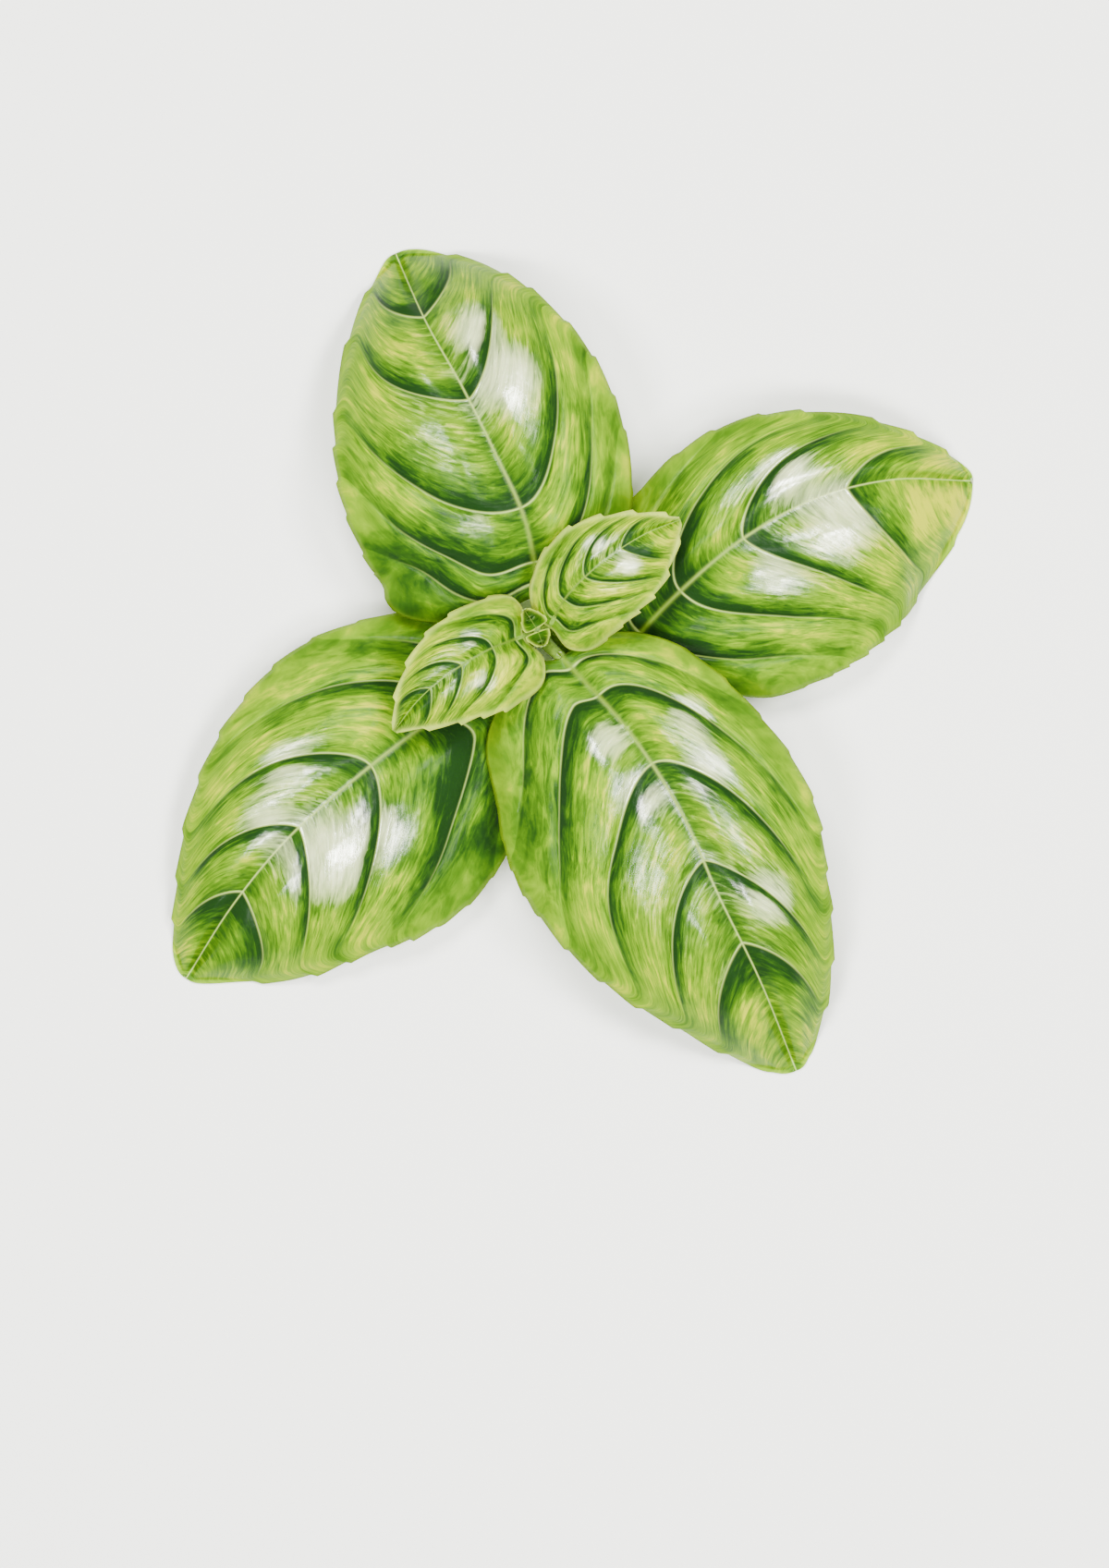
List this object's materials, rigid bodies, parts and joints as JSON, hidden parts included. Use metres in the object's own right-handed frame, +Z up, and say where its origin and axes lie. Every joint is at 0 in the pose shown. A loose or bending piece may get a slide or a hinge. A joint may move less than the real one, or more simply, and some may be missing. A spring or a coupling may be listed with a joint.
{
  "type": "basil sprig",
  "caption": "Leafy tip of a sweet basil shoot: crossed pairs of large and small leaves round a short cut stem, lying on its leaves.",
  "frame": {"origin": "on the surface the sprig lies on, under the middle of its bounding box", "axes": "+Z up out of the surface, along the cut stem; +Y towards the upper back leaf; +X towards the lower right leaf"},
  "size_m": [0.1232, 0.1264, 0.0278],
  "materials": {
    "large_leaf": null,
    "small_leaf": null,
    "stem": null
  },
  "bodies": {
    "root": {"stem": "stem", "leaf_lower_left": "large_leaf", "leaf_lower_right": "large_leaf", "leaf_upper_back": "large_leaf", "leaf_upper_front": "large_leaf", "leaf_small_right": "small_leaf", "leaf_small_left": "small_leaf", "bud_leaf_back": "small_leaf", "bud_leaf_front": "small_leaf"}
  },
  "joints": []
}
